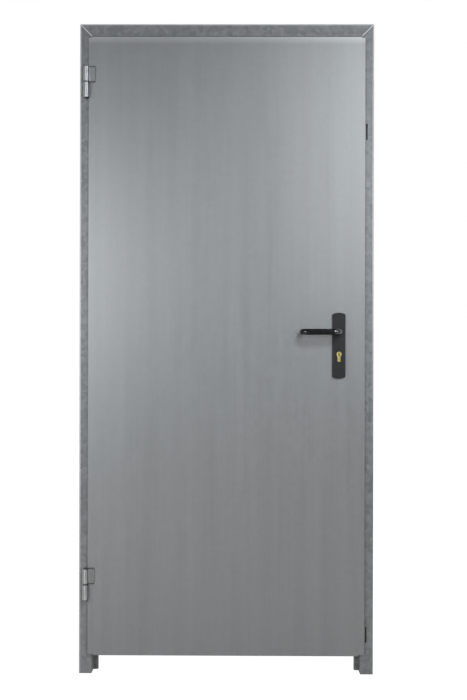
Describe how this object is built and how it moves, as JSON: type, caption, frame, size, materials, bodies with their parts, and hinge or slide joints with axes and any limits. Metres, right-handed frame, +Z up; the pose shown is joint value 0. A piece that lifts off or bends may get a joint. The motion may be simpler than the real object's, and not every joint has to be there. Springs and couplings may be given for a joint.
{
  "type": "steel utility door",
  "caption": "Galvanised steel utility door with a flush leaf on lift-off hinges in a mitred rebated frame, black lever handles on long plates and a profile cylinder lock.",
  "frame": {"origin": "foot of the hinge jamb, in the middle of the lip that bears on the wall", "axes": "+X from the hinge jamb to the lock jamb, +Y into the wall, +Z up"},
  "size_m": [0.95, 0.159, 2.098],
  "materials": {
    "galvanised_sheet": "satin",
    "zinc_plated_hinge": "satin",
    "plain_steel": "satin",
    "black_plastic": "satin",
    "brass": "satin"
  },
  "bodies": {
    "frame": {"hinge_jamb": "galvanised_sheet", "lock_jamb": "galvanised_sheet", "frame_head": "galvanised_sheet", "hinge_jamb_upper_receiver": "galvanised_sheet", "hinge_jamb_lower_receiver": "galvanised_sheet", "lock_jamb_upper_receiver": "galvanised_sheet", "lock_jamb_lower_receiver": "galvanised_sheet", "upper_hinge_frame_half": "zinc_plated_hinge", "lower_hinge_frame_half": "zinc_plated_hinge", "upper_hinge_pin": "plain_steel", "lower_hinge_pin": "plain_steel"},
    "leaf": {"leaf_front_skin": "galvanised_sheet", "leaf_back_skin": "galvanised_sheet", "leaf_top_channel": "galvanised_sheet", "leaf_bottom_channel": "galvanised_sheet", "upper_hinge_leaf_half": "zinc_plated_hinge", "lower_hinge_leaf_half": "zinc_plated_hinge", "lock_case": "plain_steel", "lock_forend": "plain_steel", "latch_bolt": "plain_steel", "dead_bolt": "plain_steel", "front_handle_plate": "black_plastic", "back_handle_plate": "black_plastic", "lock_cylinder": "brass", "back_key_plug": "brass"},
    "handle": {"front_lever": "black_plastic", "back_lever": "black_plastic", "lever_spindle": "plain_steel"},
    "key_plug": {"front_key_plug": "brass"}
  },
  "joints": [
    {"name": "door_swing", "type": "hinge", "parent": "frame", "child": "leaf", "pos_m": [0.0175, -0.032, 1], "axis": [0, 0, -1], "range_deg": [0, 170]},
    {"name": "handle_turn", "type": "hinge", "parent": "leaf", "child": "handle", "pos_m": [0.831, -0.003, 1.1045], "axis": [0, -1, 0], "range_deg": [0, 40], "stiffness_Nm_per_rad": 1.2, "springref_deg": -57.3},
    {"name": "key_turn", "type": "hinge", "parent": "leaf", "child": "key_plug", "pos_m": [0.831, -0.02, 1.0325], "axis": [0, -1, 0], "continuous": true}
  ]
}
